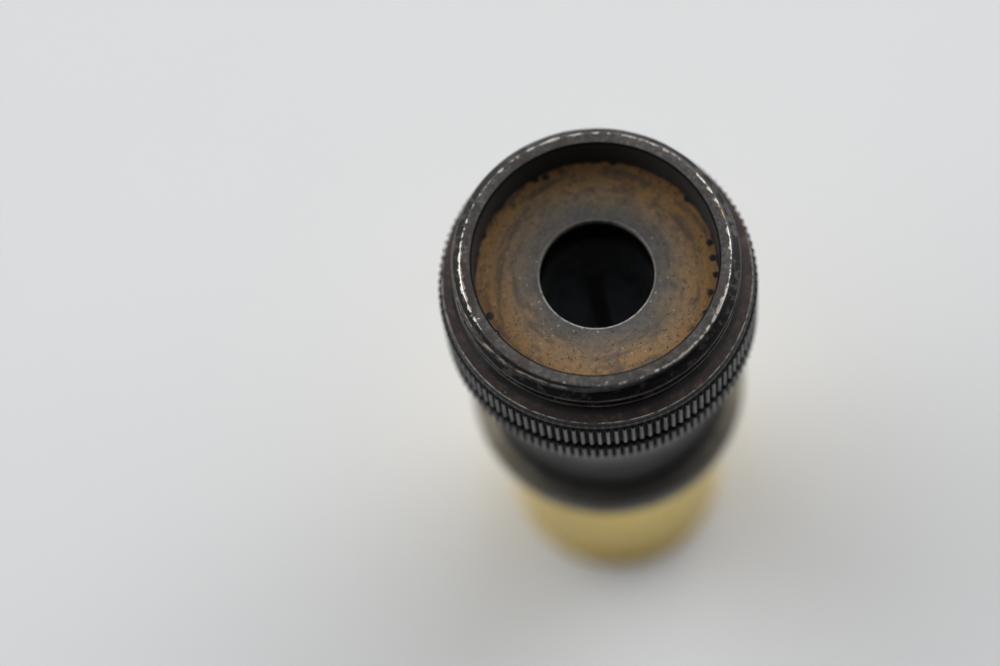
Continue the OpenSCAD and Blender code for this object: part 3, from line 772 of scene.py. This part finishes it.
def sleeve_wear_and_shade(look, colour, metal, roughness):
    """Pale bronze round the flange but for its front, part worn lacquer and part painted reflection;
    rubs; painted shade on the front of the tube; and a bare collar edge.
    """
    flange = foot("black_sleeve") - FLANGE_H
    high = look.both(look.ramp(look.depth, flange - 1.4, flange - 0.2),
                     look.ramp(look.radius, SLEEVE_R + 0.1, SLEEVE_R + 0.9))
    patch = look.noise(2.5, seed=21, detail=5)
    # Painted reflection: the flange's pale bronze and bare tooth tips are kept off the front, on top of
    # real wear
    side_sheen_share = look.math("SUBTRACT", 1.0, look.both(look.toward(-90, 75), 0.85))
    wear_and_side_sheen = look.both(high, look.ramp(patch, 0.3, 0.6, 0.6, 1.0), side_sheen_share)
    tip = look.both(look.ramp(look.radius, FLANGE_R - 0.16, FLANGE_R - 0.02),
                    look.ramp(look.depth, flange - 0.1, flange + 0.1))
    colour = look.mix(wear_and_side_sheen, colour, look.mix(patch, tone(104, 96, 80), tone(150, 142, 122)))
    breaks = look.noise(1, seed=22, detail=5, rough=0.7, place=look.wrapped(4, 1.5))
    edge = look.both(look.band(look.depth, COLLAR_END - 0.16, COLLAR_END, 0.06),
                     look.ramp(look.radius, COLLAR_R - 0.2, COLLAR_R - 0.06),
                     look.ramp(breaks, 0.46, 0.56))
    rubs = look.noise(1, seed=23, detail=6, rough=0.75, place=look.wrapped(9, 2.5))
    rubbed = look.ramp(rubs, 0.5, 0.72, 0.0, 0.6)
    colour = look.mix(look.both(rubbed, look.math("SUBTRACT", 1.0, wear_and_side_sheen)), colour, tone(62, 54, 48))
    # Painted shade: the front of the tube above the flange is darkened to near black
    front_shade = look.both(look.ramp(look.depth, COLLAR_END + 3.5, COLLAR_END + 8.5), look.toward(-90, 120),
                     look.ramp(look.radius, SLEEVE_R + 0.6, SLEEVE_R + 0.1))
    colour = look.mix(look.both(front_shade, 0.8), colour, tone(14, 13, 13))
    bare = look.either(look.both(tip, side_sheen_share), edge)
    colour = look.mix(look.both(bare, 0.7), colour, tone(132, 120, 90))
    metal = look.either(metal, look.both(look.either(wear_and_side_sheen, bare), 0.6))
    return colour, metal, look.math("ADD", roughness, look.both(rubbed, 0.2))


def sooty_brown(look, cloud):
    """Brown that greys towards the hole, smudged in clouds and in arcs round the hole."""
    wobble = look.math("MULTIPLY", look.math("SUBTRACT", look.noise(6, seed=31), 0.5), 9)
    from_hole = look.math("SUBTRACT", look.math("ADD", look.radius, wobble), HOLE_R)
    base = look.colours(look.math("DIVIDE", from_hole, RECESS_R - HOLE_R),
                        (0.0, tone(74, 72, 71)), (0.15, tone(88, 83, 77)),
                        (0.35, tone(118, 100, 78)), (0.55, tone(142, 113, 78)),
                        (0.85, tone(156, 118, 70)), (1.0, tone(140, 104, 64)))
    drag = look.noise(1, seed=32, detail=5, rough=0.65, place=look.wrapped(8, 1.2))
    smudge = look.either(look.ramp(cloud, 0.57, 0.65), look.ramp(drag, 0.5, 0.62))
    return look.mix(look.both(smudge, 0.66), base, tone(66, 63, 61))


def black_spots(look):
    """Black dots near the disc's edge, small specks, and black that creeps in from the edge."""
    border = look.ramp(look.radius, RECESS_R - 1.8, RECESS_R - 0.8)
    dots = look.both(look.spots(1.9, 0.4, 36, 0.75, flat=True), border)
    specks = look.spots(1.0, 0.1, 37, 0.45, flat=True)
    waves = look.math("MULTIPLY", look.noise(1.6, seed=38, detail=4), 1.8)
    creep = look.ramp(look.math("ADD", look.radius, waves), RECESS_R + 0.65, RECESS_R + 0.9)
    return look.either(dots, look.both(specks, 0.8), creep)


def brown_disc():
    """Smudged brown lacquer with mottling, pepper, pale flecks, black spots and a bare hole edge."""
    look = Look("brown_lacquer")
    cloud = look.noise(2.6, seed=33, detail=6, rough=0.65)
    colour = sooty_brown(look, cloud)
    mottle = look.noise(0.6, seed=39, detail=6, rough=0.75)
    colour = look.mix(look.ramp(mottle, 0.42, 0.66, 0.0, 0.4), colour, tone(62, 50, 40))
    colour = look.mix(look.ramp(mottle, 0.46, 0.3, 0.0, 0.3), colour, tone(172, 144, 106))
    pepper = look.ramp(look.noise(0.26, seed=34, detail=2), 0.6, 0.66)
    colour = look.mix(look.both(pepper, 0.85), colour, tone(40, 34, 30))
    pale = look.spots(0.8, 0.07, 35, 0.25, flat=True)
    colour = look.mix(look.both(pale, 0.8), colour, tone(206, 192, 164))
    black = black_spots(look)
    colour = look.mix(black, colour, tone(30, 28, 28))
    edge = look.both(look.ramp(look.radius, HOLE_R + 0.14, HOLE_R + 0.06),
                     look.ramp(mottle, 0.4, 0.5))
    rubbed = look.ramp(look.toward(-110, 90), 0.0, 0.5, 0.35, 1.0)
    colour = look.mix(look.both(edge, rubbed), colour, tone(214, 208, 196))
    look.set(Base_Color=colour, Metallic=0.0,
             Roughness=look.ramp(cloud, 0.3, 0.7, 0.42, 0.62))
    look.bump(look.either(look.both(mottle, 0.7), black), 0.04)
    return look.material


def brass(name, colour, roughness, tarnish):
    """Turned brass: fine lines round the axis, clouded lacquer, brown tarnish and small stains."""
    look = Look(name)
    lines = look.noise(1, seed=41, detail=4, place=look.wrapped(30, 0.06))
    bands = look.noise(1, seed=44, detail=6, rough=0.75, place=look.wrapped(60, 1.2))
    cloud = look.noise(7, seed=42, detail=5, rough=0.7)
    dark = tuple(c * share for c, share in zip(colour, (0.5, 0.42, 0.3))) + (1,)
    shade = look.mix(look.both(look.ramp(cloud, 0.42, 0.68), tarnish), colour, dark)
    shade = look.mix(look.both(look.ramp(bands, 0.5, 0.7), 0.3), shade, dark)
    shade = look.mix(look.both(look.ramp(lines, 0.5, 0.8), 0.3), shade, dark)
    stains = look.ramp(look.noise(1.8, seed=45, detail=6, rough=0.7), 0.64, 0.7)
    specks = look.spots(2.2, 0.12, 43, 0.3)
    shade = look.mix(look.either(look.both(stains, 0.5), look.both(specks, 0.6)), shade, tone(92, 66, 32))
    look.set(Base_Color=shade, Metallic=1.0,
             Roughness=look.ramp(look.math("ADD", cloud, look.both(bands, 0.5)), 0.5, 1.0,
                                 roughness, roughness + 0.18))
    look.bump(lines, 0.004)
    return look.material


def steel(name, colour, roughness):
    """Ground steel with fine scratches and a little tarnish."""
    look = Look(name)
    lines = look.noise(0.12, seed=51, detail=5, rough=0.7)
    cloud = look.noise(2, seed=52)
    dark = tuple(c * 0.6 for c in colour[:3]) + (1,)
    look.set(Base_Color=look.mix(look.ramp(cloud, 0.4, 0.7), colour, dark), Metallic=1.0,
             Roughness=look.ramp(lines, 0.3, 0.8, roughness, roughness + 0.2))
    look.bump(lines, 0.006)
    return look.material


def optical_black():
    """Matt black, rubbed paler in places."""
    look = Look("blackened_brass")
    rub = look.noise(1.4, seed=61, detail=6, rough=0.7)
    look.set(Base_Color=look.mix(look.ramp(rub, 0.58, 0.7), tone(26, 26, 27), tone(62, 56, 46)),
             Roughness=look.ramp(rub, 0.3, 0.7, 0.75, 0.5))
    look.bump(look.noise(0.15, seed=62), 0.01)
    return look.material


def glass(name, colour, index):
    """Polished glass with a few specks of dust."""
    look = Look(name)
    dust = look.spots(1.6, 0.07, 71, 0.4)
    smear = look.noise(3, seed=72)
    look.set(Base_Color=look.mix(dust, colour, tone(150, 148, 140)), IOR=index,
             Transmission_Weight=look.math("SUBTRACT", 1.0, look.both(dust, 0.8)),
             Roughness=look.ramp(smear, 0.4, 0.8, 0.01, 0.05))
    return look.material


def cork_sheet():
    look = Look("cork")
    crumb = look.noise(0.7, seed=81, detail=6, rough=0.7)
    pore = look.spots(0.8, 0.2, 82, 0.5)
    colour = look.mix(look.ramp(crumb, 0.35, 0.65), tone(150, 112, 72), tone(190, 150, 104))
    look.set(Base_Color=look.mix(pore, colour, tone(84, 58, 36)), Roughness=0.85)
    look.bump(look.math("SUBTRACT", crumb, pore), 0.06)
    return look.material


MATERIALS = {
    "black_lacquer": black_lacquer("black_lacquer", knurl_wear_and_shade),
    "nose_lacquer": black_lacquer("worn_nose_lacquer", knurl_wear_and_shade, nose_wear_and_shade),
    "sleeve_lacquer": black_lacquer("worn_sleeve_lacquer", sleeve_wear_and_shade),
    "brown_lacquer": brown_disc(),
    "lacquered_brass": brass("lacquered_brass", BRASS, 0.2, 0.3),
    "plain_brass": brass("plain_brass", (0.6, 0.43, 0.18, 1), 0.28, 0.5),
    "blackened_brass": optical_black(),
    "blued_steel": steel("blued_steel", (0.09, 0.1, 0.13, 1), 0.25),
    "screw_steel": steel("screw_steel", (0.45, 0.45, 0.46, 1), 0.3),
    "crown_glass": glass("crown_glass", (0.95, 0.98, 0.98, 1), 1.52),
    "flint_glass": glass("flint_glass", (0.97, 0.96, 0.88, 1), 1.62),
    "cork": cork_sheet(),
}


def dress(piece, finish, body, node):
    """Gives a new piece its material, and puts it in the place of its CAD node."""
    piece.data.materials.clear()
    piece.data.materials.append(MATERIALS[finish])
    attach(piece, body)
    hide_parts(node)


dress(threaded_nose(), "nose_lacquer", "head", "threaded_nose")
dress(diaphragm(), "brown_lacquer", "head", "diaphragm_disc")
dress(knurled_slit_ring(), "black_lacquer", "slit_control", "slit_ring")
dress(sleeve(), "sleeve_lacquer", "head", "black_sleeve")
dress(barrel(), "lacquered_brass", "barrel", "brass_barrel")
dress(eye_end(), "lacquered_brass", "barrel", "eye_cap")

# The pieces inside keep their CAD shape and take the finish that the record names for them
for part in frame["record"]["subparts"]:
    for place in frame["nodes"][part["node"]].material_slots:
        place.material = MATERIALS[part["material_slot"]]


# ---------------------------------------------------------------- floor, light and camera

def floor():
    mesh = bpy.data.meshes.new("floor")
    half = 3.0
    mesh.from_pydata([(-half, -half, 0), (half, -half, 0), (half, half, 0), (-half, half, 0)],
                     [], [(0, 1, 2, 3)])
    ground = placed("floor", mesh)
    look = Look("pale_table")
    mottle = look.noise(60, seed=91, detail=3)
    look.set(Base_Color=look.mix(mottle, (0.76, 0.765, 0.775, 1), (0.8, 0.8, 0.8, 1)), Roughness=0.65)
    mesh.materials.append(look.material)


def world():
    """A soft studio that is dark straight above the back of the piece and behind the camera."""
    scene_world = bpy.data.worlds.new("studio")
    bpy.context.scene.world = scene_world
    scene_world.use_nodes = True
    tree = scene_world.node_tree
    coordinates = tree.nodes.new("ShaderNodeTexCoord")

    def falling(direction, full, none):
        """A light share that drops as a sight line turns towards a direction, between two angles."""
        towards = tree.nodes.new("ShaderNodeVectorMath")
        towards.operation = "DOT_PRODUCT"
        towards.inputs[1].default_value = direction
        tree.links.new(coordinates.outputs["Generated"], towards.inputs[0])
        share = tree.nodes.new("ShaderNodeMapRange")
        share.interpolation_type = "SMOOTHSTEP"
        share.inputs["From Min"].default_value = math.cos(math.radians(full))
        share.inputs["From Max"].default_value = math.cos(math.radians(none))
        share.inputs["To Min"].default_value = 1.0
        share.inputs["To Max"].default_value = 0.0
        tree.links.new(towards.outputs["Value"], share.inputs["Value"])
        return share.outputs[0]

    above = math.radians(70)
    lit = tree.nodes.new("ShaderNodeMath")
    lit.operation = "MULTIPLY"
    tree.links.new(falling((0, math.cos(above), math.sin(above)), 38, 16), lit.inputs[0])
    tree.links.new(falling((0, -1, 0), 104, 56), lit.inputs[1])
    strength = tree.nodes.new("ShaderNodeMath")
    strength.operation = "MULTIPLY_ADD"
    tree.links.new(lit.outputs[0], strength.inputs[0])
    strength.inputs[1].default_value = 1.36
    strength.inputs[2].default_value = 0.02
    background = tree.nodes["Background"]
    background.inputs["Color"].default_value = (0.96, 0.98, 1.0, 1)
    tree.links.new(strength.outputs[0], background.inputs["Strength"])


def lamp(name, place, aim, size, power):
    data = bpy.data.lights.new(name, "AREA")
    data.shape = "RECTANGLE"
    data.size, data.size_y = size
    data.energy = power
    light = placed(name, data)
    light.location = place
    light.rotation_mode = "QUATERNION"
    light.rotation_quaternion = (Vector(aim) - Vector(place)).to_track_quat("-Z", "Y")


FOCUS_LEAN = 0.025              # share of the way to the camera
APERTURE = 0.017                # width of the lens opening, in metres


def focus(viewer, place):
    """A point to focus on that leans from a place towards the camera, so other views are sharp too."""
    point = placed("focus", None)
    point.location = place
    lean = point.constraints.new("COPY_LOCATION")
    lean.target = viewer
    lean.use_offset = False
    lean.influence = FOCUS_LEAN
    return point


def camera():
    """Steeply above the front, rolled a little, with the rim right of and above the middle.

    The sharp distance lies just in front of the rim, and the focus point stands there after its lean.
    """
    elevation, roll = math.radians(69.57), math.radians(11.26)
    distance, focal = 0.330, 3.035            # focal length in picture widths
    rim = Vector((0, 0, RIM_Z * MM))
    right = Vector((1, 0, 0))
    up = Vector((0, math.sin(elevation), math.cos(elevation)))
    back = Vector((0, -math.cos(elevation), math.sin(elevation)))
    across = math.cos(roll) * right - math.sin(roll) * up
    upward = math.sin(roll) * right + math.cos(roll) * up
    offset = 0.095 * across + 0.0756 * upward  # of the rim's centre, in picture widths
    data = bpy.data.cameras.new("camera")
    data.sensor_width = 36
    data.lens = focal * data.sensor_width
    data.clip_start = 0.01
    data.dof.use_dof = True
    data.dof.aperture_fstop = data.lens * MM / APERTURE
    viewer = placed("camera", data)
    axes = Matrix((across, upward, back)).transposed().to_4x4()
    place = rim - offset * distance / focal + back * distance
    viewer.matrix_world = Matrix.Translation(place) @ axes
    bpy.context.scene.camera = viewer
    sharp = distance - 0.0005
    behind = sharp / (1 - FOCUS_LEAN) - distance
    data.dof.focus_object = focus(viewer, rim - behind * back)


floor()
world()
lamp("window_left", (-1.0, 0.75, 1.0), (0, 0, 0.03), (1.3, 1.0), 7.5)
lamp("window_right", (0.95, 0.8, 1.0), (0, 0, 0.03), (1.3, 1.0), 8.5)
camera()
bpy.context.scene.view_settings.view_transform = "Standard"
